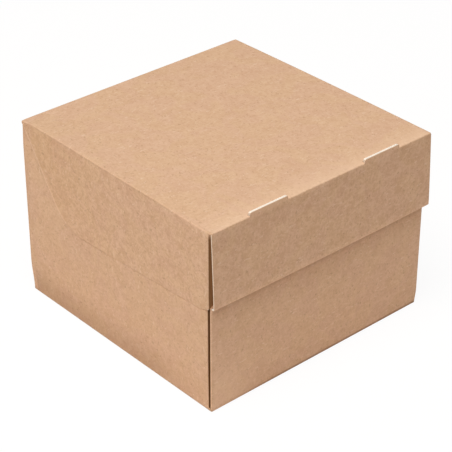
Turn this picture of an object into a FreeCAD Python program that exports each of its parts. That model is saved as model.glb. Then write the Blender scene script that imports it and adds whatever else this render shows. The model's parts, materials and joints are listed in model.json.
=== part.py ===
"""Carry-out burger box folded from one sheet of food board, modelled closed.

The sheet is two pieces only because its lid turns on the crease at the back:
  tray  floor, four walls and the folded corner webs that close its corners
  lid   top panel, side flaps with their ears, and the rolled-over front flap
        whose two tabs lock up through slots in the front crease

Millimetres. +X runs along the front from left to right, +Y from front to back
and +Z up. The origin is on the table, under the middle of the closed box.
"""
import FreeCAD, Part
import math
import os

Vector = FreeCAD.Vector

# ---- board -----------------------------------------------------------------
board = 0.5                # thickness of the sheet
crease_radius = 0.2        # inside radius of a pressed crease
layer_slack = 0.05         # air between two layers pressed on each other
corner_closure = 0.8       # height over which a foot or head corner is closed round

# ---- tray, outside sizes ---------------------------------------------------
tray_width = 120.0
tray_depth = 120.5
web_reach = 42.0           # how far a corner web runs along the wall it lies on
web_slack = 0.15           # air between the layers of a web and its wall

# ---- lid -------------------------------------------------------------------
closed_height = 85.5       # table to the top face of the closed lid
rim_gap = 0.15             # tray's rim to the lid's panel above it
side_clearance = 0.25      # side wall to side flap
front_clearance = 0.1      # front wall to the inner panel of the front flap

side_flap_front = 37.3     # depth of a side flap just behind its front corner
side_flap_back = 41.9      # and where it meets its slanted back edge
side_flap_slant = 33.6     # lean of that back edge from upright, degrees
side_flap_round = 19.0     # radius between the two edges
side_flap_nose = 34.9      # depth at the front corner, which is clipped off
side_flap_clip = 5.0       # length of that clipped corner

front_flap_depth = 34.6    # top face to the underside of the rolled edge
front_flap_lean = 2.4      # spring of the flap away from upright, degrees
flap_end_gap = 0.1         # each end of the front flap, short of the lid's side
inner_panel_inset = 1.0    # and of its inner panel, short of the flap's end

ear_reach = 26.0           # ear behind the front flap, from the lid's side
ear_top_slope = 14.5       # fall of its top edge, degrees
ear_foot_slope = 5.0       # rise of its lower edge, degrees
ear_round = 3.0            # radius of its free corners
ear_foot_gap = 0.2         # ear to the turn of the rolled edge below it

tab_width = 20.0
tab_centre = 31.25         # middle of the box to the middle of a tab
tab_round = 0.9            # radius of the free corners of tab and lip
lip_height = 1.6           # stand of a lip above the top face
tab_drop = 0.1             # tab's end, below the lip's
tab_shoulder = 3.0         # top face down to the inner panel's free edge
slot_gap = 0.35            # behind the tab, in its slot

# ---- derived ---------------------------------------------------------------
crease_outside = crease_radius + board
crease_middle = crease_radius + board / 2
layer_step = board + layer_slack
web_step = board + web_slack
rim_height = closed_height - board - rim_gap

front_stack = front_clearance + 2 * layer_step + board     # wall to the flap's face
half_tray = tray_width / 2
half_lid = half_tray + side_clearance + board
half_flap = half_lid - flap_end_gap
half_inner_panel = half_flap - inner_panel_inset


def vec2(length, degrees):
    """Components of a step of this length at this heading."""
    return length * math.cos(math.radians(degrees)), length * math.sin(math.radians(degrees))


def solve_front_flap():
    """Length of the leaning panel and middle radius of its roll.

    The roll has to bring the board back upright in the inner panel's place,
    with its underside at the flap's full depth.
    """
    lean = math.radians(front_flap_lean)
    across = layer_step * 2 + crease_middle * (1 - math.cos(lean))
    down = (front_flap_depth - corner_closure - board / 2
            - crease_middle * math.sin(lean))
    turn = 1 + math.cos(lean)
    fall = (1 + math.sin(lean)) / turn
    panel = (down - fall * across) / (math.cos(lean) + fall * math.sin(lean))
    return panel, (across + panel * math.sin(lean)) / turn


leaning_panel, roll_middle = solve_front_flap()
roll_outside = roll_middle + board / 2

# The closed box reaches from the front of the roll to the back wall.
tray_front = (front_clearance + 2 * roll_outside - tray_depth) / 2
tray_back = tray_front + tray_depth
lid_front = tray_front - front_stack
flap_back_face = lid_front + board
ear_front = flap_back_face + layer_slack
inner_panel_front = ear_front + layer_step
roll_height = closed_height - front_flap_depth + roll_outside    # centre of the roll
ear_foot = roll_height + ear_foot_gap

# The lid turns about the middle of its board, at the back wall's outer face.
hinge_y = tray_back - board / 2
hinge_z = closed_height - board / 2


# ---- drawing helpers -------------------------------------------------------
def plan(x, y):
    return Vector(x, y, 0)


def from_front(x, z):
    return Vector(x, 0, z)


def from_side(y, z):
    return Vector(0, y, z)


def box(low, high):
    """Box between two corners."""
    size = [b - a for a, b in zip(low, high)]
    return Part.makeBox(size[0], size[1], size[2], Vector(*low))


def panel(length):
    return length, 0.0


def fold(degrees, middle_radius):
    """A turn of the board, to the left where positive."""
    return middle_radius, degrees


def strip(place, start, heading, steps):
    """Section of a run of board: flat panels and folds from start onwards."""
    half = board / 2
    sides = {half: [], -half: []}
    a, b = start
    for size, turn in steps:
        if turn == 0:
            along = vec2(size, heading)
            for side, edges in sides.items():
                off = vec2(side, heading + 90)
                first = place(a + off[0], b + off[1])
                last = place(a + off[0] + along[0], b + off[1] + along[1])
                edges.append(Part.makeLine(first, last))
            a, b = a + along[0], b + along[1]
            continue
        hand = math.copysign(1, turn)
        to_centre = vec2(size, heading + 90 * hand)
        centre = (a + to_centre[0], b + to_centre[1])
        for side, edges in sides.items():
            radius = size - hand * side
            points = []
            for share in (0, 0.5, 1):
                spoke = vec2(radius, heading - 90 * hand + turn * share)
                points.append(place(centre[0] + spoke[0], centre[1] + spoke[1]))
            edges.append(Part.Arc(*points).toShape())
        heading += turn
        back = vec2(size, heading - 90 * hand)
        a, b = centre[0] + back[0], centre[1] + back[1]
    left, right = sides[half], sides[-half]
    caps = [Part.makeLine(left[0].Vertexes[0].Point, right[0].Vertexes[0].Point),
            Part.makeLine(left[-1].Vertexes[-1].Point, right[-1].Vertexes[-1].Point)]
    return Part.Face(Part.Wire(Part.__sortEdges__(left + right + caps)))


def outline(place, corners):
    """Flat face through (a, b, radius) corners, given in order round it."""
    ends = []
    count = len(corners)
    for i, (a, b, radius) in enumerate(corners):
        here = Vector(a, b, 0)
        before = (Vector(*corners[i - 1][:2], 0) - here).normalize()
        after = (Vector(*corners[(i + 1) % count][:2], 0) - here).normalize()
        half_angle = before.getAngle(after) / 2
        reach = radius / math.tan(half_angle)
        middle = (before + after).normalize() * (radius / math.sin(half_angle) - radius)
        ends.append((here + before * reach, here + middle, here + after * reach, radius))
    edges = []
    for i, (first, middle, last, radius) in enumerate(ends):
        if radius > 0:
            arc = [place(p.x, p.y) for p in (first, middle, last)]
            edges.append(Part.Arc(*arc).toShape())
        following = ends[(i + 1) % count][0]
        edges.append(Part.makeLine(place(last.x, last.y), place(following.x, following.y)))
    return Part.Face(Part.Wire(edges))


def mirrored(shape, normal):
    return shape.mirror(Vector(0, 0, 0), normal)


def one_solid(pieces):
    """Fuse pieces of the same sheet and drop the seams between them."""
    whole = pieces[0].fuse(pieces[1:]).removeSplitter()
    return whole.Solids[0] if len(whole.Solids) == 1 else whole


def round_shell(low, high, open_side):
    """Shallow pan of board with creased edges, open to +Z or -Z."""
    inner_low = [c + board for c in low]
    inner_high = [c - board for c in high]
    if open_side > 0:
        inner_high[2] = high[2] + 2 * crease_outside
        high = (high[0], high[1], high[2] + crease_outside)
    else:
        inner_low[2] = low[2] - 2 * crease_outside
        low = (low[0], low[1], low[2] - crease_outside)
    outer = box(low, high)
    inner = box(inner_low, inner_high)
    closed_z = low[2] if open_side > 0 else high[2]
    closed_inner_z = inner_low[2] if open_side > 0 else inner_high[2]
    return (rounded(outer, closed_z, crease_outside)
            .cut(rounded(inner, closed_inner_z, crease_radius)))


def rounded(block, closed_z, radius):
    """Round a block's upright edges and those round its closed face."""
    edges = []
    for edge in block.Edges:
        heights = [v.Point.z for v in edge.Vertexes]
        upright = abs(heights[0] - heights[1]) > radius
        closed = max(abs(z - closed_z) for z in heights) < radius
        if upright or closed:
            edges.append(edge)
    return block.makeFillet(radius, edges)


# ---- tray ------------------------------------------------------------------
def tray_foot():
    """Floor and the first rise of the walls, creased all round."""
    pan = round_shell((-half_tray, tray_front, 0),
                      (half_tray, tray_back, corner_closure), 1)
    return pan.common(box((-half_tray, tray_front, 0),
                          (half_tray, tray_back, corner_closure)))


def web_layers(height):
    """Front wall and side wall to the middle of each, with the web's two layers.

    At the corner the front wall turns back on itself into the first layer, and
    the side wall turns in to become the second. Here X and Y start at the corner.
    """
    turn = web_step / 2
    front = strip(plan, (half_tray, board / 2), 180,
                  [panel(half_tray - board / 2 - turn), fold(-90, turn),
                   fold(-90, turn), panel(web_reach - board / 2 - turn)])
    side_plane = board / 2 + 2 * web_step
    side = strip(plan, (web_reach, side_plane), 180,
                 [panel(web_reach - board / 2 - crease_middle), fold(-90, crease_middle),
                  panel(tray_depth / 2 - side_plane - crease_middle)])
    rise = Vector(0, 0, height)
    return front.extrude(rise), side.extrude(rise)


def web_fold():
    """Diagonal fold that joins the web's layers, rising from the floor's corner."""
    slope = math.sqrt(0.5)
    overlap = board

    def across(a, b):
        return Vector(a * slope, b, -a * slope)

    section = strip(across, (-overlap, board / 2 + web_step), 0,
                    [panel(overlap), fold(180, web_step / 2), panel(overlap)])
    length = web_reach / slope + 2 * board
    return section.extrude(Vector(slope, 0, slope) * length)


def tray_corner():
    """Quarter of the walls, with the web of its corner."""
    wall_rise = rim_height - corner_closure
    lifted = Vector(0, 0, corner_closure)
    front, side = web_layers(wall_rise)
    front.translate(lifted)
    side.translate(lifted)
    # Below its diagonal the web is floor space: only the walls themselves go down.
    under = outline(from_front, [(board, 0, 0), (web_reach + board, 0, 0),
                                 (web_reach + board, web_reach + board, 0),
                                 (board, board, 0)])
    web_depth = 3 * web_step
    under = under.extrude(Vector(0, web_depth, 0))
    under.translate(Vector(0, board + web_slack / 2, 0))
    crest = web_fold().common(box((board, 0, corner_closure / 2),
                                  (web_reach, web_depth, rim_height)))
    walls = [front.cut(under), side.cut(under), crest]
    corner = one_solid(walls)
    corner.translate(Vector(-half_tray, tray_front, 0))
    return corner


def tray():
    middle = Vector(0, (tray_front + tray_back) / 2, 0)
    left_front = tray_corner()
    right_front = mirrored(left_front, Vector(1, 0, 0))
    back = [c.mirror(middle, Vector(0, 1, 0)) for c in (left_front, right_front)]
    return one_solid([tray_foot(), left_front, right_front] + back)


# ---- lid -------------------------------------------------------------------
def top_panel():
    """Flat panel, ending at the back in the round of the hinge crease."""
    half_width = half_lid - crease_outside
    flat = box((-half_width, lid_front + crease_outside, closed_height - board),
               (half_width, hinge_y, closed_height))
    bead = Part.makeCylinder(board / 2, 2 * half_width,
                             Vector(-half_width, hinge_y, hinge_z), Vector(1, 0, 0))
    return flat.fuse(bead)


def front_crease():
    """Front edge of the top panel, with its two closed corners."""
    pan = round_shell((-half_lid, lid_front, closed_height - corner_closure),
                      (half_lid, tray_back, closed_height), -1)
    return pan.common(box((-half_lid, lid_front, closed_height - corner_closure),
                          (half_lid, ear_front + crease_outside, closed_height)))


def side_flap_outline():
    """Seen from the side: slanted back edge, round corner, clipped front."""
    slope = math.tan(math.radians(side_flap_slant))
    nose = tray_front + front_clearance
    clip_end = nose + side_flap_clip
    fall = side_flap_back - side_flap_front
    # The lower edge meets the slanted one where both are side_flap_back deep.
    corner_y = tray_back - side_flap_back * slope
    return outline(from_side, [
        (hinge_y, closed_height, 0),
        (tray_back - board / 2 - board * slope, closed_height - board, 0),
        (corner_y, closed_height - side_flap_front - fall, side_flap_round),
        (clip_end, closed_height - side_flap_front, 0),
        (nose, closed_height - side_flap_nose, 0),
        (nose, ear_foot, 0),
        (lid_front, ear_foot, 0),
        (lid_front, closed_height, 0)])


def side_flap():
    """Left side flap, hanging from its crease."""
    start = -half_lid + crease_outside
    section = strip(from_front, (start, hinge_z), 180,
                    [fold(90, crease_middle), panel(side_flap_back)])
    first = ear_front + crease_outside
    section.translate(Vector(0, first, 0))
    hanging = section.extrude(Vector(0, hinge_y - first, 0))
    shape = side_flap_outline().extrude(Vector(2 * crease_outside, 0, 0))
    shape.translate(Vector(-half_lid - crease_radius, 0, 0))
    return hanging.common(shape)


def ear():
    """Left ear, turned in from the side flap's front edge."""
    reach = ear_reach - crease_outside
    section = strip(plan, (-half_lid + board / 2, ear_front + crease_outside + board), 270,
                    [panel(board), fold(90, crease_middle), panel(reach)])
    section.translate(Vector(0, 0, ear_foot))
    top = closed_height - corner_closure
    raised = section.extrude(Vector(0, 0, top - ear_foot))
    end = -half_lid + ear_reach
    top_fall = reach * math.tan(math.radians(ear_top_slope))
    foot_rise = reach * math.tan(math.radians(ear_foot_slope))
    shape = outline(from_front, [
        (-half_lid - board, top, 0), (-half_lid - board, ear_foot, 0),
        (-half_lid + crease_outside, ear_foot, 0), (end, ear_foot + foot_rise, ear_round),
        (end, top - top_fall, ear_round), (-half_lid + crease_outside, top, 0)])
    shape = shape.extrude(Vector(0, 2 * crease_outside + 2 * board, 0))
    shape.translate(Vector(0, ear_front - board, 0))
    return raised.common(shape)


def front_flap():
    """Outer face, springing out a little, and the roll along its lower edge."""
    overlap = board
    section = strip(from_side, (lid_front + board / 2,
                                closed_height - corner_closure + overlap), 270,
                    [panel(overlap), fold(-front_flap_lean, crease_middle),
                     panel(leaning_panel), fold(180 + front_flap_lean, roll_middle)])
    section.translate(Vector(-half_flap, 0, 0))
    return section.extrude(Vector(2 * half_flap, 0, 0))


def inner_panel():
    """Panel rolled up inside the front flap, as far as the shoulders of its tabs."""
    return box((-half_inner_panel, inner_panel_front, roll_height),
               (half_inner_panel, inner_panel_front + board, closed_height - tab_shoulder))


def tongue(low, high, centre, depth_range):
    """Upright block with rounded top corners, one tab wide."""
    left = centre - tab_width / 2
    right = centre + tab_width / 2
    face = outline(from_front, [(left, low, 0), (right, low, 0),
                                (right, high, tab_round), (left, high, tab_round)])
    face.translate(Vector(0, depth_range[0], 0))
    return face.extrude(Vector(0, depth_range[1] - depth_range[0], 0))


def lip(centre):
    """Stretch of the front flap's board that stands up past the crease."""
    return tongue(closed_height - corner_closure, closed_height + lip_height, centre,
                  (lid_front, flap_back_face))


def tab(centre):
    """Tab of the inner panel, bent forward through its slot against the lip."""
    low = closed_height - tab_shoulder
    high = closed_height + lip_height - tab_drop
    profile = outline(from_side, [(inner_panel_front, low, 0),
                                  (inner_panel_front + board, low, 0),
                                  (ear_front + board, high, 0), (ear_front, high, 0)])
    profile.translate(Vector(centre - tab_width / 2, 0, 0))
    bent = profile.extrude(Vector(tab_width, 0, 0))
    return bent.common(tongue(low, high, centre, (lid_front, tray_front)))


def slot(centre):
    """Opening that the tab comes up through, from the lip's face backwards."""
    run = (inner_panel_front - ear_front) / (tab_shoulder + lip_height - tab_drop)
    tab_back = inner_panel_front + board - run * (tab_shoulder - board)
    return box((centre - tab_width / 2, lid_front - board, closed_height - corner_closure),
               (centre + tab_width / 2, tab_back + slot_gap, closed_height + board))


def lid():
    left = one_solid([side_flap(), ear()])
    body = one_solid([top_panel(), front_crease(), left,
                      mirrored(left, Vector(1, 0, 0))])
    locks = []
    for centre in (-tab_centre, tab_centre):
        body = body.cut(slot(centre))
        locks += [lip(centre), tab(centre)]
    return one_solid([body, front_flap(), inner_panel()] + locks)


# ---- export ----------------------------------------------------------------
os.makedirs("parts", exist_ok=True)
for name, shape in (("tray", tray()), ("lid", lid())):
    shape.exportStep("parts/" + name + ".step")
    size = shape.BoundBox
    print("%s: %d solid(s), valid %s, %.1f x %.1f x %.1f mm, %.0f mm3"
          % (name, len(shape.Solids), shape.isValid(), size.XLength, size.YLength,
             size.ZLength, shape.Volume))
print("hinge axis through y %.4f z %.4f mm" % (hinge_y, hinge_z))
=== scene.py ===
import json
import math
from collections import namedtuple
import bmesh
import bpy
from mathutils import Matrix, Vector


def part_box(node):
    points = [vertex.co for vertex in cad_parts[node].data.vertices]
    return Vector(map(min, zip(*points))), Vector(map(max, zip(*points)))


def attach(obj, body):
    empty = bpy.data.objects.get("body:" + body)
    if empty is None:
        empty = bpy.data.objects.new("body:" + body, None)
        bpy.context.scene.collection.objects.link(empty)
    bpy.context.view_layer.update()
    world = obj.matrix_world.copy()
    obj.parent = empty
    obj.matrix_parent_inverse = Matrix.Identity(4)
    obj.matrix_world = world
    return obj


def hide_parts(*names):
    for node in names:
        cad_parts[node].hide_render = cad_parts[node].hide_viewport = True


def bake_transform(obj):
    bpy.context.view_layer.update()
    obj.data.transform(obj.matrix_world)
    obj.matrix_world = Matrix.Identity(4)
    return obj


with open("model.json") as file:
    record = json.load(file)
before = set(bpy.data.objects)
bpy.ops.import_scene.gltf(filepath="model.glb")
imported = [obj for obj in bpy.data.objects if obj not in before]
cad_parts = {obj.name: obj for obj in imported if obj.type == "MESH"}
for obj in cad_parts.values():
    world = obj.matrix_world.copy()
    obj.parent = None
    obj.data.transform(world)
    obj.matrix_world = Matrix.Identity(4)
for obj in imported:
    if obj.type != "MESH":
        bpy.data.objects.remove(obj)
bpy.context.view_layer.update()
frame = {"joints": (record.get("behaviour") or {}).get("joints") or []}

mm = 0.001

trayLow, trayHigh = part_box("tray")
lidLow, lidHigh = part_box("lid")
hinge = Vector(frame["joints"][0]["pos_m"])

board = {
    "thick": 0.5 * mm,
    "crease": 0.31 * mm,        # radius of a pressed fold, to the middle of the board
    "layerStep": 0.55 * mm,     # one pressed layer to the next
    "creaseSteps": 6,
    "turnSteps": 14,            # for a fold that goes right back on itself
    "weld": 0.003 * mm,         # corners closer than this become one
    "sharp": math.radians(38),  # faces that meet more steeply keep a sharp edge
}
half = board["thick"] / 2
crease = board["crease"]
quarter = math.pi / 2
trayMiddle = (trayLow.y + trayHigh.y) / 2
lidTop = hinge.z + half
creaseLow = hinge.z - crease    # where a fold of the lid's top ends below

# A place, its place on the flat blank, and how pale it is, from rubs and from painted light:
# below 0 it is painted shade.
Spot = namedtuple("Spot", "at flat rub")


def steps(low, high, count, crowd=1.0):
    # above 1, crowd brings the values closer together towards low
    return [low + (high - low) * (i / count) ** crowd for i in range(count + 1)]


def joined(*runs):
    # runs that share their end values, as one list
    values = list(runs[0])
    for run in runs[1:]:
        values += run[1:]
    return values


def smooth(value, low, high):
    share = min(max((value - low) / (high - low), 0.0), 1.0)
    return share * share * (3 - 2 * share)


def mix(a, b, share):
    return a + (b - a) * share


class Sheet:
    # board drawn as its middle surface, then thickened and given its faces
    def __init__(self, name):
        self.name = name
        self.mesh = bmesh.new()
        self.flat = self.mesh.loops.layers.uv.new("blank")
        self.rub = self.mesh.verts.layers.float.new("rub")
        self.coarse = self.mesh.verts.layers.float.new("coarse")

    def panel(self, rows, skip=lambda row, column: False):
        made = []
        for row in rows:
            line = []
            for spot in row:
                vert = self.mesh.verts.new(spot.at)
                vert[self.rub] = spot.rub
                line.append((vert, spot.flat))
            made.append(line)
        for i in range(len(rows) - 1):
            for j in range(len(rows[i]) - 1):
                if skip(i, j):
                    continue
                ring = [made[i][j], made[i][j + 1], made[i + 1][j + 1], made[i + 1][j]]
                face = self.mesh.faces.new([vert for vert, flat in ring])
                for loop, (vert, flat) in zip(face.loops, ring):
                    loop[self.flat].uv = flat

    def finish(self, besideKraft, outwards, settle=lambda place: place,
               coarseAt=lambda place: 0.0):
        # besideKraft is a point near the brown face, outwards the way that face looks
        mesh = self.mesh
        loose = [vert for vert in mesh.verts if not vert.link_faces]
        bmesh.ops.delete(mesh, geom=loose, context="VERTS")
        bmesh.ops.remove_doubles(mesh, verts=mesh.verts, dist=board["weld"])
        bmesh.ops.dissolve_degenerate(mesh, edges=mesh.edges, dist=board["weld"] / 3)
        bmesh.ops.recalc_face_normals(mesh, faces=mesh.faces)
        nearest = min(mesh.faces,
                      key=lambda face: (face.calc_center_median() - besideKraft).length)
        if nearest.normal.dot(outwards) < 0:
            bmesh.ops.reverse_faces(mesh, faces=mesh.faces)
        for vert in mesh.verts:
            vert[self.coarse] = coarseAt(vert.co)
            vert.co = settle(vert.co.copy())
        middle = bpy.data.meshes.new(self.name)
        mesh.to_mesh(middle)
        mesh.free()
        piece = bpy.data.objects.new(self.name, middle)
        bpy.context.scene.collection.objects.link(piece)
        for finish in (kraftFace, whiteFace, cutEdge):
            middle.materials.append(finish)
        solid = piece.modifiers.new("board", "SOLIDIFY")
        solid.thickness = board["thick"]
        solid.offset = 0
        solid.use_rim = True
        solid.material_offset = 1
        solid.material_offset_rim = 2
        view = bpy.context.evaluated_depsgraph_get()
        thick = bpy.data.meshes.new_from_object(piece.evaluated_get(view),
                                                preserve_all_data_layers=True, depsgraph=view)
        piece.modifiers.clear()
        piece.data = thick
        thick.name = self.name
        thick.polygons.foreach_set("use_smooth", [True] * len(thick.polygons))
        thick.set_sharp_from_angle(angle=board["sharp"])
        print(self.name, len(thick.polygons), "faces")
        return piece


class Wire:
    # a socket whose maths is written as ordinary expressions
    def __init__(self, tree, socket=None):
        self.tree = tree
        self.socket = socket

    def node(self, kind, settings=None, sockets=None, out=0):
        made = self.tree.nodes.new(kind)
        for name, value in (settings or {}).items():
            setattr(made, name, value)
        for name, value in (sockets or {}).items():
            if isinstance(value, Wire):
                self.tree.links.new(value.socket, made.inputs[name])
            else:
                made.inputs[name].default_value = value
        return Wire(self.tree, made.outputs[out])

    def maths(self, operation, *values):
        return self.node("ShaderNodeMath", {"operation": operation}, dict(enumerate(values)))

    def __add__(self, other):
        return self.maths("ADD", self, other)

    __radd__ = __add__

    def __mul__(self, other):
        return self.maths("MULTIPLY", self, other)

    __rmul__ = __mul__

    def __sub__(self, other):
        return self.maths("SUBTRACT", self, other)

    def __rsub__(self, other):
        return self.maths("SUBTRACT", other, self)

    def between(self, low, high):
        # 0 below low, 1 above high, smooth from one to the other
        return self.node("ShaderNodeMapRange", {"interpolation_type": "SMOOTHSTEP"},
                         {0: self, 1: low, 2: high})

    def colours(self, first, second):
        # first where this is 0, second where it is 1
        return self.node("ShaderNodeMix", {"data_type": "RGBA"},
                         {0: self, 6: first, 7: second}, out=2)

    def times(self, tint):
        # this colour multiplied by another
        return self.node("ShaderNodeMix", {"data_type": "RGBA", "blend_type": "MULTIPLY"},
                         {0: 1.0, 6: self, 7: tint}, out=2)

    def stretched(self, across, along, turned=0.0):
        # this place on the blank, in features a metre each way
        return self.node("ShaderNodeMapping", {"vector_type": "POINT"},
                         {"Vector": self, "Rotation": (0, 0, turned),
                          "Scale": (across, along, 1)})

    def noise(self, detail=2.0, roughness=0.5, twist=0.0):
        # cloudy noise at this place, one feature to a unit
        return self.node("ShaderNodeTexNoise", {"noise_dimensions": "2D"},
                         {"Vector": self, "Scale": 1.0, "Detail": detail,
                          "Roughness": roughness, "Distortion": twist})


def newFinish(name, roughness, specular):
    finish = bpy.data.materials.new(name)
    finish.use_nodes = True
    shader = finish.node_tree.nodes["Principled BSDF"]
    shader.inputs["Roughness"].default_value = roughness
    shader.inputs["Specular IOR Level"].default_value = specular
    blank = Wire(finish.node_tree).node("ShaderNodeUVMap", {"uv_map": "blank"})
    return finish, shader, blank


def paint(shader, colour, normal=None):
    colour.tree.links.new(colour.socket, shader.inputs["Base Color"])
    if normal:
        normal.tree.links.new(normal.socket, shader.inputs["Normal"])


def makeKraftFace():
    look = {
        "light": (0.768, 0.505, 0.328, 1),
        "dark": (0.666, 0.409, 0.253, 1),
        "pink": (1.0, 0.983, 0.99, 1),
        "yellow": (1.0, 0.995, 0.96, 1),
        "aged": (1.0, 0.985, 0.93, 1),      # the lid's side flaps towards the back
        "speck": (0.50, 0.290, 0.165, 1),
        "fibre": (0.86, 0.62, 0.44, 1),
        # paler kraft, for rubbed and white edges and for painted light and highlights
        "rubbedAndLit": (0.905, 0.615, 0.415, 1),
        # dark brown for painted shade in folds, gaps, under flaps and at the floor
        "paintedShade": (0.19, 0.08, 0.024, 1),
        "mottle": 330,          # features a metre
        "mottleDeep": 1.1,      # and how strong they are
        "grain": 950,
        "grainDeep": 1.15,
        "cloud": 130,
        "cloudDeep": 0.55,
        "patch": 70,
        "coarse": 0.52,         # how much stronger all that is on the lid's flaps
        "agedRun": (-20 * mm, 60 * mm),     # from where to where along the box it ages
        "specks": (1100, 800, 0.5),         # features a metre across and along, and their turn
        "speckCut": (0.67, 0.75),           # the noise is a speck above this
        "speckDeep": 0.55,
        "fibres": (420, 1300, 0.35),
        "fibreCut": (0.68, 0.76),
        "fibreDeep": 0.5,
        "bump": 0.10 * mm,
    }
    finish, shader, blank = newFinish("kraftFace", 0.72, 0.2)
    mottle = blank.stretched(look["mottle"], look["mottle"]).noise(2.0, 0.6, 0.4)
    grain = blank.stretched(look["grain"], look["grain"], 0.4).noise(2.0, 0.6)
    coarse = blank.node("ShaderNodeAttribute", {"attribute_name": "coarse"}, out=2)
    cloud = blank.stretched(look["cloud"], look["cloud"], 0.7).noise(1.0, 0.5, 0.5)
    uneven = ((mottle - 0.5) * look["mottleDeep"] + (grain - 0.5) * look["grainDeep"]
              + (cloud - 0.5) * look["cloudDeep"])
    tone = uneven * (coarse * look["coarse"] + 1) + 0.5
    colour = tone.between(-0.1, 1.1).colours(look["dark"], look["light"])
    patch = blank.stretched(look["patch"], look["patch"], 0.2).noise(2.0, 0.5, 0.8)
    colour = colour.times(patch.between(0.40, 0.60).colours(look["pink"], look["yellow"]))
    along = blank.node("ShaderNodeSeparateXYZ", None, {"Vector": blank}, out="Y")
    aged = along.between(*look["agedRun"]) * coarse.between(0.0, 1.0)
    colour = aged.colours(colour, colour.times(look["aged"]))
    specks = blank.stretched(*look["specks"]).noise(1.0, 0.4, 0.8)
    dark = specks.between(*look["speckCut"]) * look["speckDeep"]
    colour = dark.colours(colour, look["speck"])
    fibres = blank.stretched(*look["fibres"]).noise(1.0, 0.4, 1.0)
    pale = fibres.between(*look["fibreCut"]) * look["fibreDeep"]
    colour = pale.colours(colour, look["fibre"])
    rub = blank.node("ShaderNodeAttribute", {"attribute_name": "rub"}, out=2)
    # above 0 the colour turns paler for rubs and painted light, below 0 darker as painted shade
    colour = rub.between(0.0, 1.0).colours(colour, look["rubbedAndLit"])
    colour = (0 - rub).between(0.0, 1.0).colours(colour, look["paintedShade"])
    height = grain * 0.7 + mottle * 0.7 + fibres.between(0.6, 0.8) * 0.2
    normal = blank.node("ShaderNodeBump", None,
                        {"Strength": 1.0, "Distance": look["bump"], "Height": height})
    paint(shader, colour, normal)
    return finish


def makeWhiteFace():
    look = {
        "light": (0.87, 0.84, 0.79, 1),
        "dark": (0.80, 0.76, 0.70, 1),
        "cloud": 160,           # features a metre
        "grain": 1100,
        "bump": 0.03 * mm,
    }
    finish, shader, blank = newFinish("whiteFace", 0.5, 0.35)
    cloud = blank.stretched(look["cloud"], look["cloud"]).noise(3.0, 0.55, 0.5)
    grain = blank.stretched(look["grain"], look["grain"]).noise(2.0, 0.6)
    tone = (cloud - 0.5) * 0.8 + (grain - 0.5) * 1.1 + 0.5
    colour = tone.between(0.1, 0.9).colours(look["dark"], look["light"])
    normal = blank.node("ShaderNodeBump", None,
                        {"Strength": 1.0, "Distance": look["bump"], "Height": grain})
    paint(shader, colour, normal)
    return finish


def makeCutEdge():
    look = {
        "light": (0.84, 0.67, 0.52, 1),
        "dark": (0.72, 0.53, 0.38, 1),
        "rubbedAndLit": (0.97, 0.85, 0.72, 1),
        "torn": 1500,           # features a metre
    }
    finish, shader, blank = newFinish("cutEdge", 0.85, 0.15)
    torn = blank.stretched(look["torn"], look["torn"]).noise(2.0, 0.6)
    colour = torn.between(0.25, 0.6).colours(look["dark"], look["light"])
    rub = blank.node("ShaderNodeAttribute", {"attribute_name": "rub"}, out=2)
    # paler where rubbed and where a highlight is painted
    paint(shader, rub.between(0.0, 1.0).colours(colour, look["rubbedAndLit"]))
    return finish


kraftFace = makeKraftFace()
whiteFace = makeWhiteFace()
cutEdge = makeCutEdge()
print("finishes made")


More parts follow.
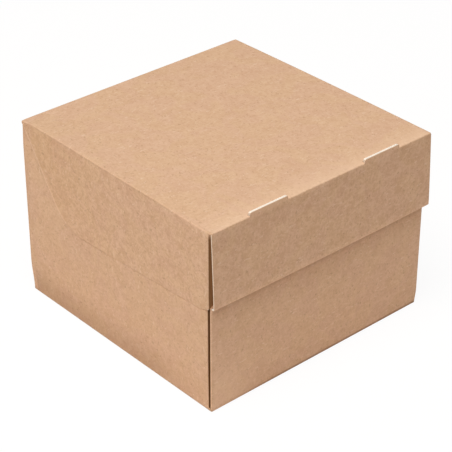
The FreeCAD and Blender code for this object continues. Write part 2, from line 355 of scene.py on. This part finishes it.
# A pair of lengths or angles is where a change begins and where it is complete.
tray = {
    "webReach": 42 * mm,
    "webLeast": 0.2 * mm,       # and its reach at the very floor
    "webStep": 0.58 * mm,       # one layer of a corner web to the next
    "opening": 1.0 * mm,        # height over which a corner's folds part above the floor
    "groove": 0.65 * mm,        # room between a front web's layers where they meet the corner
    "grooveRun": 18 * mm,       # and how far along the web it takes to close
    "endShadeTurn": (1.3, 2.1),      # angles round the end wall's turn, where painted shade sets in
    "sideShadeTurn": (0.3, 1.0),     # and round the side wall's fold, where that painted shade ends
    "endClose": (1.2 * mm, 4 * mm),     # the end wall's first columns, which lie close
    "sideClose": (3.2 * mm, 6 * mm),    # and the side wall's
    "closeRows": 52 * mm,       # rows lie close up to here, past the feet of the lid's flaps
    "floorShadow": 0.58,            # painted contact shadow: how dark the walls are at the floor
    "floorShadowRun": 1.6 * mm,
    "sideFloorShadow": 0.6,         # share of that on the side walls
    "lowShade": 0.38,               # painted shade: how dark the left wall is more widely above the floor
    "lowShadeRight": 0.2,
    "lowShadeRun": 24 * mm,
    "lowShadeFront": 0.42,          # share of that at the front
    "lowShadeEven": (5 * mm, 40 * mm),      # from the front wall, until it is even
    "flapShadow": 0.32,              # painted shadow: how dark the front wall is where the lid's flap ends, under its foot
    "flapShadowLow": (-5.4 * mm, -2.6 * mm),     # heights from that flap's foot
    "flapShadowHigh": (-2.1 * mm, 1.1 * mm),
    "cornerSpring": 1.2 * mm,   # a back corner springs out past the lid's flap
    "endSpring": 0.95 * mm,     # the back wall's own end a little less
    "rimSpring": 0.6,           # share of both at the rim
    "rimFrom": 72 * mm,         # height where they start to lessen
    "springRun": 32 * mm,       # how far along the side wall they reach
    "springFull": 1 * mm,       # from the back wall's face
    "springHigh": (1 * mm, 16 * mm),
    "endTurn": (1.6 * mm, 1.1 * mm),        # from the back wall's face, round the corner
    "backLight": 0.14,           # painted light: how pale the side walls are beside the back
    "backLightFrom": 4 * mm,
    "backLightHigh": (10 * mm, 45 * mm),
    "wallShade": 0.04,          # and a little dark along the rest
    "wallShadeRun": (15 * mm, 50 * mm),
    "footLight": 0.36,            # painted light from the floor: the front wall is paler at its lower left corner
    "footLightHigh": (8 * mm, 34 * mm),
    "footLightWide": (8 * mm, 36 * mm),
    "lean": 0.2 * mm,           # the side walls lean out into the lid's flaps, hidden by them,
    "leanFoot": -4 * mm,        # but not near a flap's foot
    "leanRim": 76 * mm,         # or at the rim
    "swell": 0.38 * mm,         # and swell below the flaps
    "swellEdge": (-0.5 * mm, 1 * mm),
    "swellHigh": 25 * mm,
    "swellFront": 0.2,          # more so towards the front
    "swellFrontRun": (10 * mm, 30 * mm),
    "swellLoose": 0.1,          # less so where a flap's foot stands off
    "looseFrom": (8 * mm, 19 * mm),
    "looseTo": (28 * mm, 40 * mm),
    "swellStart": (0.5 * mm, 3.5 * mm),     # from the front wall
    "swellEnd": (2 * mm, 30 * mm),          # and from the back wall
    "sideDeep": (3 * mm, 1 * mm),           # from a side wall's face, what moves with it
    "wallBow": 0.25 * mm,
    "wallDeep": 2.5 * mm,       # what lies this near the front or the back belongs to that wall
    "knock": 0.8 * mm,          # the front right corner is knocked in at the floor
    "knockFrom": 45 * mm,       # from the middle of the box, both ways
    "knockHigh": 7 * mm,
}


def cornerColumns(rise, inset, opened, groove):
    # the run round a corner, as distances in from the side wall's and the end wall's faces
    loop = tray["webStep"] / 2
    near = half + loop
    layer1 = half + tray["webStep"]
    closed2 = layer1 + tray["webStep"]
    side = half + crease
    far = max(min(rise, tray["webReach"]), near + tray["webLeast"])

    def layer2(a):
        return closed2 + groove * (1 - smooth(a, side, tray["grooveRun"]))

    run = []
    # the folded layers within a corner are painted shade, dark as where light hardly reaches
    for angle in steps(0, math.pi, board["turnSteps"]):      # end wall turns back on itself
        run.append((near - loop * math.sin(angle), near - loop * math.cos(angle),
                    mix(-near, near, angle / math.pi), rise,
                    -smooth(angle, *tray["endShadeTurn"])))
    for a in steps(near, far, 8)[1:]:
        run.append((a, layer1, a, rise, -1.0))
    apexStart = len(run) - 1
    apex = (layer2(far) - layer1) / 2
    for angle in steps(0, math.pi, board["turnSteps"])[1:]:  # the web's diagonal fold
        run.append((far + math.sqrt(2) * loop * math.sin(angle),
                    layer1 + apex * (1 - math.cos(angle)), far, rise, -1.0))
    apexEnd = len(run) - 1
    for a in steps(far, side, 14)[1:]:
        run.append((a, layer2(a), rise, a, -1.0))
    outer = layer2(side)
    for angle in steps(0, quarter, board["creaseSteps"])[1:]:    # and on to the side wall
        run.append((side - crease * math.sin(angle), outer + crease * (1 - math.cos(angle)),
                    rise, mix(side, -outer - crease, angle / quarter),
                    smooth(angle, *tray["sideShadeTurn"]) - 1))
    columns = []
    for i, (a, b, flatA, flatB, rub) in enumerate(run):
        angle = quarter * i / (len(run) - 1)
        plainA = side - (crease - inset) * math.sin(angle)
        plainB = side - (crease - inset) * math.cos(angle)
        columns.append((mix(plainA, a, opened), mix(plainB, b, opened), flatA, flatB,
                        rub * opened))
    return columns, apexStart, apexEnd


def sideWallShading(side, end, b, z):
    # b is the distance in from the end wall's face
    # painted shade above the floor and along the wall, painted light beside the back
    low = tray["lowShade" if side < 0 else "lowShadeRight"] * (1 - smooth(z, 0, tray["lowShadeRun"]))
    if end > 0:
        pale = (tray["backLight"] * (1 - smooth(b, tray["backLightFrom"], tray["springRun"]))
                * smooth(z, *tray["backLightHigh"]))
        return pale - max(low, tray["wallShade"])
    return -max(low * mix(tray["lowShadeFront"], 1, smooth(b, *tray["lowShadeEven"])),
                tray["wallShade"] * smooth(b, *tray["wallShadeRun"]))


def trayCorner(sheet, side, end):
    # a quarter of the walls and floor; side is -1 left or 1 right, end -1 front or 1 back
    halfWide = trayHigh.x
    halfDeep = (trayHigh.y - trayLow.y) / 2
    low = half + crease
    groove = tray["groove"] if end < 0 else 0.0
    endStart, endClose = tray["endClose"]
    sideStart, sideClose = tray["sideClose"]
    alongEnd = joined(steps(halfWide, endClose, 16), steps(endClose, endStart, 3))
    alongSide = joined(steps(sideStart, sideClose, 3), steps(sideClose, halfDeep, 20))
    flapFoot = lidTop - lid["frontDepth"]

    def spot(a, b, z, flatA, flatB, rub):
        return Spot(Vector((side * (halfWide - a), trayMiddle + end * (halfDeep - b), z)),
                    (side * (halfWide + flatA), end * (halfDeep + flatB)), rub)

    def row(z, inset, opened, floorShadow):
        corner, first, last = cornerColumns(z, inset, opened, groove)
        # the front wall: painted contact shadow at the floor, painted shadow under the lid's
        # flap, painted light at the lower left
        flapShadow = tray["flapShadow"] * (smooth(z - flapFoot, *tray["flapShadowLow"]) * (end < 0)
                                 * (1 - smooth(z - flapFoot, *tray["flapShadowHigh"])))
        lit = tray["footLight"] * (side + end == -2) * (1 - smooth(z, *tray["footLightHigh"]))
        line = [spot(a, half + inset, z, -a, z,
                     floorShadow - flapShadow + lit * (1 - smooth(a, *tray["footLightWide"])))
                for a in alongEnd]
        start = len(line)
        floorShadow *= tray["sideFloorShadow"]
        turnLast = board["turnSteps"]
        foldFirst = len(corner) - 1 - board["creaseSteps"]
        for i, (a, b, flatA, flatB, rub) in enumerate(corner):
            if end > 0 and (i <= turnLast or i >= foldFirst):       # no painted shade shows here
                rub = 0.0
            line.append(spot(a, b, z, flatA, flatB, min(rub, floorShadow)))
        for b in alongSide:
            rub = sideWallShading(side, end, b, z)
            line.append(spot(half + inset, b, z, z, -b, min(floorShadow, rub) if floorShadow else rub))
        return line, start + first, start + last

    rows = []
    for angle in steps(quarter, 0, board["creaseSteps"]):
        line = row(half + crease * (1 - math.sin(angle)), crease * (1 - math.cos(angle)),
                   0.0, -tray["floorShadow"])[0]
        rows.append(line)
    lowRows = steps(low, tray["webReach"], 20, crowd=2.2)
    highRows = joined(steps(tray["webReach"], tray["closeRows"], 26),
                      steps(tray["closeRows"], creaseLow, 9))
    for z in joined(lowRows, highRows)[1:]:
        floorShadow = tray["floorShadow"] * (smooth(z, low, low + tray["floorShadowRun"]) - 1)
        line, first, last = row(z, 0.0, smooth(z, low, tray["opening"]), floorShadow)
        rows.append(line)
    webTop = board["creaseSteps"] + len(lowRows) - 1
    sheet.panel(rows, lambda i, j: i >= webTop and first <= j < last)
    floor = []
    for b in [low] + alongSide:
        floor.append([spot(a, b, half, -a, -b, 0.0) for a in alongEnd + [low]])
    sheet.panel(floor)


def springOut(y, z):
    # the back corners spring out where no flap holds them
    turnFrom, turnTo = tray["endTurn"]
    flapEdge = trayHigh.y - (lidTop - z) * math.tan(lid["flapSlant"])
    start = min(max(flapEdge, trayHigh.y - tray["springRun"]), trayHigh.y - turnFrom)
    out = smooth(y, start, trayHigh.y - tray["springFull"]) * smooth(z, *tray["springHigh"])
    out *= mix(1.0, tray["rimSpring"], smooth(z, tray["rimFrom"], lidTop))
    return out * mix(tray["cornerSpring"], tray["endSpring"],
                     smooth(y, trayHigh.y - turnFrom, trayHigh.y - turnTo))


def swellOut(y, z):
    # how far a side wall stands out, which is least along the foot of the lid's flap
    under = lidTop - flapDepth(max(y, noseY)) - z
    loose = smooth(y, *tray["looseFrom"]) * (1 - smooth(y, *tray["looseTo"]))
    swell = tray["swell"] * smooth(under, *tray["swellEdge"]) * smooth(z, 0, tray["swellHigh"])
    swell *= (1 + tray["swellFront"] * smooth(-y, *tray["swellFrontRun"])
              - tray["swellLoose"] * loose)
    lean = (tray["lean"] * (1 - smooth(under, tray["leanFoot"], 0))
            * (1 - smooth(z, tray["leanRim"], lidTop)))
    away = (smooth(y - trayLow.y, *tray["swellStart"])
            * smooth(trayHigh.y - y, *tray["swellEnd"]))
    return abs(swell - lean) * away


def settleTray(place):
    # the walls bow a little, and one front corner is knocked in
    x, y, z = place
    outer, inner = tray["sideDeep"]
    nearSide = smooth(abs(x), trayHigh.x - outer, trayHigh.x - inner)
    x += math.copysign((springOut(y, z) + swellOut(y, z)) * nearSide, x)
    across = 1 - (x / trayHigh.x) ** 2
    bow = tray["wallBow"] * across * math.sin(math.pi * min(z / trayHigh.z, 1.0))
    if y < trayLow.y + tray["wallDeep"]:
        y -= bow
    elif y > trayHigh.y - tray["wallDeep"]:
        y += bow
    x -= tray["knock"] * (smooth(x, tray["knockFrom"], trayHigh.x)
                          * smooth(-y, tray["knockFrom"], -trayLow.y)
                          * (1 - smooth(z, 0, tray["knockHigh"])))
    return Vector((x, y, z))


def buildTray():
    sheet = Sheet("trayBoard")
    for side in (-1, 1):
        for end in (-1, 1):
            trayCorner(sheet, side, end)
    piece = sheet.finish(Vector((0, trayLow.y, trayHigh.z / 2)), Vector((0, -1, 0)), settleTray)
    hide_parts("tray")
    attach(piece, "tray")


lid = {
    "frontClearance": 0.1 * mm,
    "flapFront": 37.75 * mm,    # depth of a side flap behind its clipped nose
    "flapBack": 41.9 * mm,
    "flapSlant": math.radians(33.6),
    "flapRound": 19 * mm,
    "flapLeast": 0.05 * mm,     # what is left of it beside the hinge
    "nose": 35.6 * mm,
    "noseIn": 0.7 * mm,         # its front edge, behind the tray's front wall
    "clip": 5 * mm,
    "frontDepth": 34.6 * mm,
    "leanShape": 1.2,           # 1 leans evenly, more leans mostly near the top
    "frontBow": 0.5 * mm,
    "bowShape": 1.3,            # above 1 it bows mostly near its foot
    "crown": 0.3 * mm,
    "crownFrom": 45 * mm,       # height from which the flaps follow the top
    "flapShort": 0.1 * mm,      # each end of the front flap, short of the lid's side
    "innerShort": 2 * mm,
    "earReach": 26 * mm,
    "earTop": math.radians(14.5),
    "earFoot": math.radians(5),
    "earRound": 3 * mm,
    "earGap": 0.2 * mm,
    "earTuck": 1.4 * mm,        # from the side flap's fold until the ear lies in its place
    "earDrop": 2.1 * mm,        # and it hangs this much lower at that fold
    "earShade": 0.88,            # how dark that fold is painted, as shade in the gap behind the front flap
    "earShadeTurn": (0.15, 1.3), # angles round it
    "earShadeRun": 3.5 * mm,     # from the lid's top
    "tabWide": 20 * mm,
    "tabMiddle": 31.25 * mm,
    "tabRound": 0.9 * mm,
    "tabStep": 0.6 * mm,        # a lip to the tab behind it
    "tabDrop": 0.1 * mm,
    "tabPale": 0.5 * mm,        # how far down a lip or a tab is rubbed pale
    "lipHigh": 1.6 * mm,
    "shoulder": 3 * mm,
    "slotBack": 1.65 * mm,      # front face to the rear of a slot
    "foldSheen": 0.5,            # painted sheen: how pale the top is beside its front fold
    "sheenRun": 18 * mm,
    "sheenShape": 1.5,           # above 1 it is mostly near the fold
    "edgePale": 0.65,           # how pale a side flap is painted along its slanted edge
    "edgeWide": 0.3 * mm,
    "slantWide": 2.4 * mm,      # there that strip is wider than along the foot
    "edgeMost": 0.6,            # but it takes no more than this share of the flap
    "rowApart": 0.002,          # least share of a flap between its last two rows
    "footHighlight": 0.5,            # painted highlight along the front flap's foot
    "footHighlightHigh": 1 * mm,     # up to this much over the roll's middle
    "frontShade": 0.16,          # painted shade: how much darker that flap is than the rest
    "frontShadeTop": 0.3,        # share more of that beside the top fold
    "frontShadeFrom": 70 * mm,
    "rollSquare": 0.5,          # below 1 the roll has a flat underside
    "sideFoldShade": 0.24,           # painted shade: how dark the foot of the top's side folds is
    "cornerHighlight": 0.15,         # but the left one has a painted highlight beside the front corner
    "cornerRun": 26 * mm,
    "foldRows": (0.029, 0.044), # shares of a flap where that dark, then that pale, is gone
    "topCoarse": -0.55,         # the top is smoother than plain board, and its flaps rougher
    "flapCoarse": 1.0,
    "coarseRun": 1 * mm,
    "lift": 0.7 * mm,           # the left fold rises towards the back
    "liftRun": (-15 * mm, 50 * mm),
    "liftEnd": (0.5 * mm, 8 * mm),      # from the hinge
    "sag": 0.4 * mm,            # and sinks towards the front
    "sagStart": (-2 * mm, 1.5 * mm),    # from the nose
    "sagRun": (-48 * mm, -25 * mm),
    "liftWide": 14 * mm,        # how far over the top both reach
    "liftFrom": 58 * mm,        # and from what height in the flap
    "aside": 0.35 * mm,         # the lid sits this far to the left
    "footIn": 0.65 * mm,        # and its left flap's foot lies in against the tray
    "footInFrom": 6 * mm,       # from this far below the top
    "footInFront": (-3 * mm, 6 * mm),   # from the nose
    "footInBack": 40 * mm,      # from the hinge
    "flapDeep": 2 * mm,         # what lies this near the left side belongs to that flap
}
lidFace = trayLow.y - lid["frontClearance"] - 2 * board["layerStep"] - board["thick"]
innerMiddle = trayLow.y - lid["frontClearance"] - half
rollRadius = (innerMiddle - lidLow.y - half) / 2
rollHeight = lidTop - lid["frontDepth"] + half + rollRadius
earFoot = rollHeight + lid["earGap"]
earLow = earFoot - lid["earDrop"]
noseY = trayLow.y + lid["noseIn"]
clipEnd = noseY + lid["clip"]
topEdge = lidHigh.x - half - crease          # where the top turns down into a side flap
frontLine = lidFace + half + crease          # and into the front flap

# A side flap's lower edge is nearly level, then round, then slants up to the hinge.
flapSlope = math.tan(lid["flapSlant"])
flapRise = ((lid["flapBack"] - lid["flapFront"])
            / (trayHigh.y - lid["flapBack"] * flapSlope - clipEnd))


def roundCorner():
    # both edges moved inwards by the radius meet in the middle of the round
    radius = lid["flapRound"]
    lowerAt = lid["flapFront"] - flapRise * clipEnd - radius * math.sqrt(1 + flapRise ** 2)
    slantedAt = trayHigh.y / flapSlope - radius / math.sin(lid["flapSlant"])
    y = (slantedAt - lowerAt) / (flapRise + 1 / flapSlope)
    return y, flapRise * y + lowerAt


roundY, roundDepth = roundCorner()
roundFirst = roundY - lid["flapRound"] * math.sin(math.atan(flapRise))
roundLast = roundY + lid["flapRound"] * math.cos(lid["flapSlant"])


def flapDepth(y):
    # how far a side flap hangs below the lid's top at this place along it
    if y < clipEnd:
        return mix(lid["nose"], lid["flapFront"], (y - noseY) / lid["clip"])
    if y < roundFirst:
        return lid["flapFront"] + flapRise * (y - clipEnd)
    if y < roundLast:
        return roundDepth + math.sqrt(lid["flapRound"] ** 2 - (y - roundY) ** 2)
    return (trayHigh.y - y) / flapSlope


def tabColumns(middle):
    wide = lid["tabWide"] / 2
    right = joined(steps(0, wide - lid["tabRound"], 4), steps(wide - lid["tabRound"], wide, 3))
    return [middle - x for x in reversed(right[1:])] + [middle + x for x in right]


def topColumns():
    inner = lidHigh.x - lid["innerShort"]
    wide = lid["tabWide"] / 2
    tab = lid["tabMiddle"]
    right = joined(steps(0, tab - wide, 6), tabColumns(tab), steps(tab + wide, inner, 5),
                   steps(inner, topEdge, 2))
    return [-x for x in reversed(right[1:])] + right


def inSlot(x):
    return abs(abs(x) - lid["tabMiddle"]) < lid["tabWide"] / 2


# painted sheen on the top and its front crease, strongest at the fold
def foldSheen(y):
    share = min(max((y - frontLine) / lid["sheenRun"], 0), 1)
    return lid["foldSheen"] * (1 - share) ** lid["sheenShape"]


# painted shade at a side fold's foot, turning into a painted highlight near the left front corner
def foldFoot(side, y):
    lit = (side < 0) * (1 - smooth(y, noseY + lid["cornerRun"] / 2, noseY + lid["cornerRun"]))
    return mix(-lid["sideFoldShade"], lid["cornerHighlight"], lit)


def flapPaleAndShade(side, y, share):
    # share is 0 at a side flap's fold and 1 at its edge
    if share == 0:
        return foldFoot(side, y)
    if share < lid["foldRows"][1]:
        return max(foldFoot(side, y), 0)
    return lid["edgePale"] * (share == 1) * smooth(y, roundFirst, roundLast)


def topPanel(sheet):
    slotY = lidFace + lid["slotBack"]
    rows = joined([frontLine, slotY], [slotY, noseY], steps(noseY, clipEnd, 5),
                  steps(clipEnd, roundFirst, 22), steps(roundFirst, roundLast, 18),
                  steps(roundLast, hinge.y - crease, 14))
    foot = (creaseLow - earLow) / (lid["nose"] - half - crease)
    turn = steps(0, quarter, board["creaseSteps"])

    def shares(y, long):
        # where the rows of a side flap lie, as shares of its length from the fold
        wide = mix(lid["edgeWide"], lid["slantWide"], smooth(y, roundFirst, roundLast))
        edge = 1 - min(wide / long, lid["edgeMost"])
        above = min(foot, edge - lid["rowApart"])
        darkGone, paleGone = lid["foldRows"]
        return joined([0, darkGone, paleGone], steps(paleGone, above, 12), [above, edge, 1])

    def row(y):
        long = max(flapDepth(max(y, noseY)) - half - crease, lid["flapLeast"])
        run = []
        for side in (-1, 1):
            line = []
            for share in reversed(shares(y, long)):
                z = creaseLow - share * long
                line.append(Spot(Vector((side * (topEdge + crease), y, z)),
                                 (side * (topEdge + lidTop - z), y), flapPaleAndShade(side, y, share)))
            for angle in reversed(turn[:-1]):
                line.append(Spot(Vector((side * (topEdge + crease * math.sin(angle)), y,
                                         creaseLow + crease * math.cos(angle))),
                                 (side * (topEdge + crease * angle), y),
                                 foldFoot(side, y) * smooth(angle, 0.0, quarter)))
            run.append(line)
        top = [Spot(Vector((x, y, hinge.z)), (x, y), foldSheen(y)) for x in topColumns()[1:-1]]
        return run[0] + top + run[1][::-1]

    lines = [row(y) for y in rows]
    flapCells = len(shares(noseY, lid["nose"])) - 1

    def skip(i, j):
        inFlap = j < flapCells or j >= len(lines[i]) - 1 - flapCells
        return (inFlap and i < 2) or (i == 0 and inSlot((lines[i][j].at.x
                                                         + lines[i][j + 1].at.x) / 2))

    sheet.panel(lines, skip)


def ear(sheet, side):
    # turned in from a side flap's front edge, behind the front flap
    end = lidHigh.x - lid["earReach"]
    plane = innerMiddle - board["layerStep"]
    radius = lid["earRound"]
    columns = []
    # the fold and the ear's first stretch are painted shade
    for angle in steps(0, quarter, board["creaseSteps"]):
        columns.append((topEdge + crease * math.cos(angle), noseY - crease * math.sin(angle),
                        -lid["earShade"] * smooth(angle, *lid["earShadeTurn"])))
    flat = joined(steps(topEdge, topEdge - lid["earTuck"], 5),
                  steps(topEdge - lid["earTuck"], end + radius, 8))
    flat += [end + radius - radius * math.sin(angle) for angle in steps(0, quarter, 6)[1:]]
    for x in flat[1:]:
        forward = smooth(topEdge - x, 0, lid["earTuck"])
        columns.append((x, mix(noseY - crease, plane, forward),
                        -mix(lid["earShade"], 1.0, forward)))
    lines = []
    for share in steps(0, 1, 12):
        line = []
        for x, y, rub in columns:
            inwards = max(topEdge - x, 0)
            past = max(end + radius - x, 0)
            rounding = radius - math.sqrt(max(radius ** 2 - past ** 2, 0))
            top = creaseLow - inwards * math.tan(lid["earTop"]) - rounding
            low = (mix(earLow, earFoot, smooth(inwards, 0, lid["earTuck"]))
                   + inwards * math.tan(lid["earFoot"]) + rounding)
            z = mix(top, low, share)
            line.append(Spot(Vector((side * x, y, z)), (side * (topEdge + lidTop - z), -x),
                             rub * smooth(lidTop - z, 0, lid["earShadeRun"])))
        lines.append(line)
    sheet.panel(lines)


def frontFlap(sheet):
    # down from the top's crease, round the roll and up again as the inner panel
    edge = lidHigh.x - lid["flapShort"]
    inner = lidHigh.x - lid["innerShort"]
    columns = [-edge] + topColumns() + [edge]
    faceY = lidFace + half
    rollY = lidLow.y + half
    run = []
    for share in steps(0, 1, 22):
        lean = 1 - (1 - share) ** lid["leanShape"]
        run.append((mix(faceY, rollY, lean), mix(creaseLow, rollHeight, share)))
    turn = steps(0, math.pi, board["turnSteps"])[1:]
    halfRoll = len(run) - 1 + len(turn) // 2
    for angle in turn:
        across = math.copysign(abs(math.cos(angle)) ** lid["rollSquare"], math.cos(angle))
        run.append((rollY + rollRadius * (1 - across),
                    rollHeight - rollRadius * math.sin(angle) ** lid["rollSquare"]))
    for z in steps(rollHeight, lidTop - lid["shoulder"], 12)[1:]:
        run.append((innerMiddle, z))
    lines = []
    length = 0.0
    for i, (y, z) in enumerate(run):
        if i:
            length += math.hypot(y - run[i - 1][0], z - run[i - 1][1])
        # a painted highlight at the flap's foot, and painted shade over the flap
        pale = lid["footHighlight"] * (1 - smooth(z, rollHeight - rollRadius,
                                             rollHeight + lid["footHighlightHigh"]))
        pale -= lid["frontShade"] * (1 + lid["frontShadeTop"] * smooth(z, lid["frontShadeFrom"],
                                                                     creaseLow))
        pale *= i <= halfRoll
        lines.append([Spot(Vector((x, y, z)), (x, lidFace - length), pale) for x in columns])

    def skip(i, j):
        return i >= halfRoll and abs(columns[j] + columns[j + 1]) / 2 > inner

    sheet.panel(lines, skip)


def frontCrease(sheet):
    # the fold at the top's front edge, left out where the lips stand
    columns = topColumns()
    turn = steps(0, quarter, board["creaseSteps"])
    lines = []
    for angle in turn:
        lines.append([Spot(Vector((x, frontLine - crease * math.sin(angle),
                                   creaseLow + crease * math.cos(angle))),
                           (x, frontLine - crease * angle),
                           foldSheen(frontLine) * math.cos(angle)) for x in columns])
    sheet.panel(lines, lambda i, j: inSlot((columns[j] + columns[j + 1]) / 2))
    for side in (-1, 1):      # the small round corner between the three folds
        corner = []
        for angle in turn:
            out = crease * math.sin(angle)
            corner.append([Spot(Vector((side * (topEdge + out * math.cos(way)),
                                        frontLine - out * math.sin(way),
                                        creaseLow + crease * math.cos(angle))),
                                (side * (topEdge + crease * angle), frontLine - crease * angle),
                                0.0) for way in turn])
        sheet.panel(corner)


def tongue(sheet, middle, low, high, yLow, yHigh, flatLow):
    # upright tab or lip with rounded corners
    radius = lid["tabRound"]
    wide = lid["tabWide"] / 2
    heights = joined(steps(low, high - radius, 4), steps(high - radius, high, 7))
    lines = []
    for z in heights:
        past = max(z - (high - radius), 0)
        reach = wide - radius + math.sqrt(max(radius ** 2 - past ** 2, 0))
        y = mix(yLow, yHigh, (z - low) / (high - low))
        pale = smooth(z, high - lid["tabPale"], high)
        lines.append([Spot(Vector((middle + (x - middle) * reach / wide, y, z)),
                           (x, flatLow + z - low), pale) for x in tabColumns(middle)])
    sheet.panel(lines)


def lidCoarse(place):
    return mix(lid["topCoarse"], lid["flapCoarse"], smooth(lidTop - place.z, 0, lid["coarseRun"]))


def settleLid(place):
    # the top is a little crowned, and the front flap bows out along its foot
    x, y, z = place
    along = (y - trayMiddle) / (trayHigh.y - trayMiddle)
    z += lid["crown"] * max(1 - along ** 2, 0) * smooth(z, lid["crownFrom"], lidTop)
    lift = lid["lift"] * smooth(y, *lid["liftRun"]) * smooth(hinge.y - y, *lid["liftEnd"])
    lift -= lid["sag"] * smooth(y - noseY, *lid["sagStart"]) * (1 - smooth(y, *lid["sagRun"]))
    z += (lift * smooth(-x, lidHigh.x - lid["liftWide"], topEdge)
          * smooth(z, lid["liftFrom"], creaseLow))
    if y < lidFace + tray["wallDeep"]:
        across = max(1 - (x / lidHigh.x) ** 2, 0)
        deep = min(max((creaseLow - z) / (creaseLow - rollHeight), 0), 1)
        y -= lid["frontBow"] * across * deep ** lid["bowShape"]
    elif x < lid["flapDeep"] - lidHigh.x:
        held = smooth(y - noseY, *lid["footInFront"]) * smooth(hinge.y - y, 0, lid["footInBack"])
        x += lid["footIn"] * held * smooth(lidTop - z, lid["footInFrom"], lid["flapFront"])
    return Vector((x - lid["aside"], y, z))


def buildLid():
    sheet = Sheet("lidBoard")
    topPanel(sheet)
    frontCrease(sheet)
    frontFlap(sheet)
    lipTop = lidTop + lid["lipHigh"]
    lipY = lidFace + half
    for side in (-1, 1):
        ear(sheet, side)
        middle = side * lid["tabMiddle"]
        tongue(sheet, middle, creaseLow, lipTop, lipY, lipY, lidFace)
        tongue(sheet, middle, lidTop - lid["shoulder"], lipTop - lid["tabDrop"],
               innerMiddle, lipY + lid["tabStep"], lidHigh.y)
    piece = sheet.finish(Vector((0, 0, lidTop)), Vector((0, 0, 1)), settleLid, lidCoarse)
    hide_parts("lid")
    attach(piece, "lid")


def buildHingeCrease():
    # the back crease, which the lid turns about
    look = {
        "short": 0.7 * mm,      # each end, short of the tray's side
        "across": 40,           # cells
        "round": 8,
        "margin": 0.3,          # share at each end of the bend that stays rigid
    }
    sheet = Sheet("hingeCrease")
    wide = trayHigh.x - look["short"]
    lines = []
    for angle in steps(0, quarter, look["round"]):
        y = hinge.y - crease * (1 - math.sin(angle))
        z = hinge.z - crease * (1 - math.cos(angle))
        lines.append([Spot(Vector((x, y, z)), (x, hinge.y + crease * angle), 0.0)
                      for x in steps(-wide, wide, look["across"])])
    sheet.panel(lines)
    piece = sheet.finish(hinge, Vector((0, 1, 1)))
    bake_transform(piece)


def addStage():
    look = {
        "size": 8.0,
        "seen": 0.9,            # how much of it glows white to the camera
        "white": 1.02,
        "bounce": (0.955, 0.89, 0.84, 1),
    }
    stage = bmesh.new()
    bmesh.ops.create_grid(stage, x_segments=2, y_segments=2, size=look["size"] / 2)
    mesh = bpy.data.meshes.new("floor")
    stage.to_mesh(mesh)
    stage.free()
    floor = bpy.data.objects.new("floor", mesh)
    bpy.context.scene.collection.objects.link(floor)
    paper = bpy.data.materials.new("whiteTable")
    paper.use_nodes = True
    tree = paper.node_tree
    tree.nodes.remove(tree.nodes["Principled BSDF"])
    start = Wire(tree)
    camera = start.node("ShaderNodeLightPath", out="Is Camera Ray")
    glossy = start.node("ShaderNodeLightPath", out="Is Glossy Ray")
    through = start.node("ShaderNodeLightPath", out="Is Transmission Ray")
    seen = (camera + glossy + through).between(0.0, 1.0) * look["seen"]
    matte = start.node("ShaderNodeBsdfDiffuse", None, {"Color": look["bounce"]})
    glow = start.node("ShaderNodeEmission", None,
                      {"Color": (1, 1, 1, 1), "Strength": look["white"]})
    both = start.node("ShaderNodeMixShader", None, {0: seen, 1: matte, 2: glow})
    tree.links.new(both.socket, tree.nodes["Material Output"].inputs["Surface"])
    mesh.materials.append(paper)


def addLight():
    look = {
        "sky": 0.18,            # the camera sees it white all the same
        "skyTint": (0.985, 1.0, 1.035, 1),
        "power": 39.0,
        "size": 1.3,
        "at": (-0.71, -0.27, 1.90),
        "tint": (1.0, 1.0, 0.99),
    }
    world = bpy.data.worlds.new("studio")
    world.use_nodes = True
    bpy.context.scene.world = world
    tree = world.node_tree
    sky = tree.nodes["Background"]
    camera = Wire(tree).node("ShaderNodeLightPath", out="Is Camera Ray")
    strength = camera * (1 - look["sky"]) + look["sky"]
    tree.links.new(strength.socket, sky.inputs["Strength"])
    sky.inputs["Color"].default_value = look["skyTint"]
    lamp = bpy.data.lights.new("softbox", "AREA")
    lamp.energy = look["power"]
    lamp.size = look["size"]
    lamp.color = look["tint"]
    softbox = bpy.data.objects.new("softbox", lamp)
    softbox.location = look["at"]
    softbox.rotation_euler = Vector(look["at"]).to_track_quat("Z", "Y").to_euler()
    bpy.context.scene.collection.objects.link(softbox)
    bpy.context.scene.view_settings.view_transform = "Standard"


def addCamera():
    look = {
        "at": (0.0, 0.0012, 0.0450),    # what it looks at
        "azimuth": -41.53,
        "height": 30.88,
        "away": 0.720,
        "lens": 132.9,
        "shiftX": 0.0033,
        "shiftY": -0.0388,
    }
    azimuth = math.radians(look["azimuth"])
    height = math.radians(look["height"])
    back = Vector((math.sin(azimuth) * math.cos(height),
                   -math.cos(azimuth) * math.cos(height), math.sin(height)))
    lens = bpy.data.cameras.new("camera")
    lens.lens = look["lens"]
    lens.shift_x = look["shiftX"]
    lens.shift_y = look["shiftY"]
    camera = bpy.data.objects.new("camera", lens)
    camera.location = Vector(look["at"]) + back * look["away"]
    camera.rotation_euler = back.to_track_quat("Z", "Y").to_euler()
    bpy.context.scene.collection.objects.link(camera)
    bpy.context.scene.camera = camera


buildTray()
buildLid()
buildHingeCrease()
addStage()
addLight()
addCamera()
print("stage set")
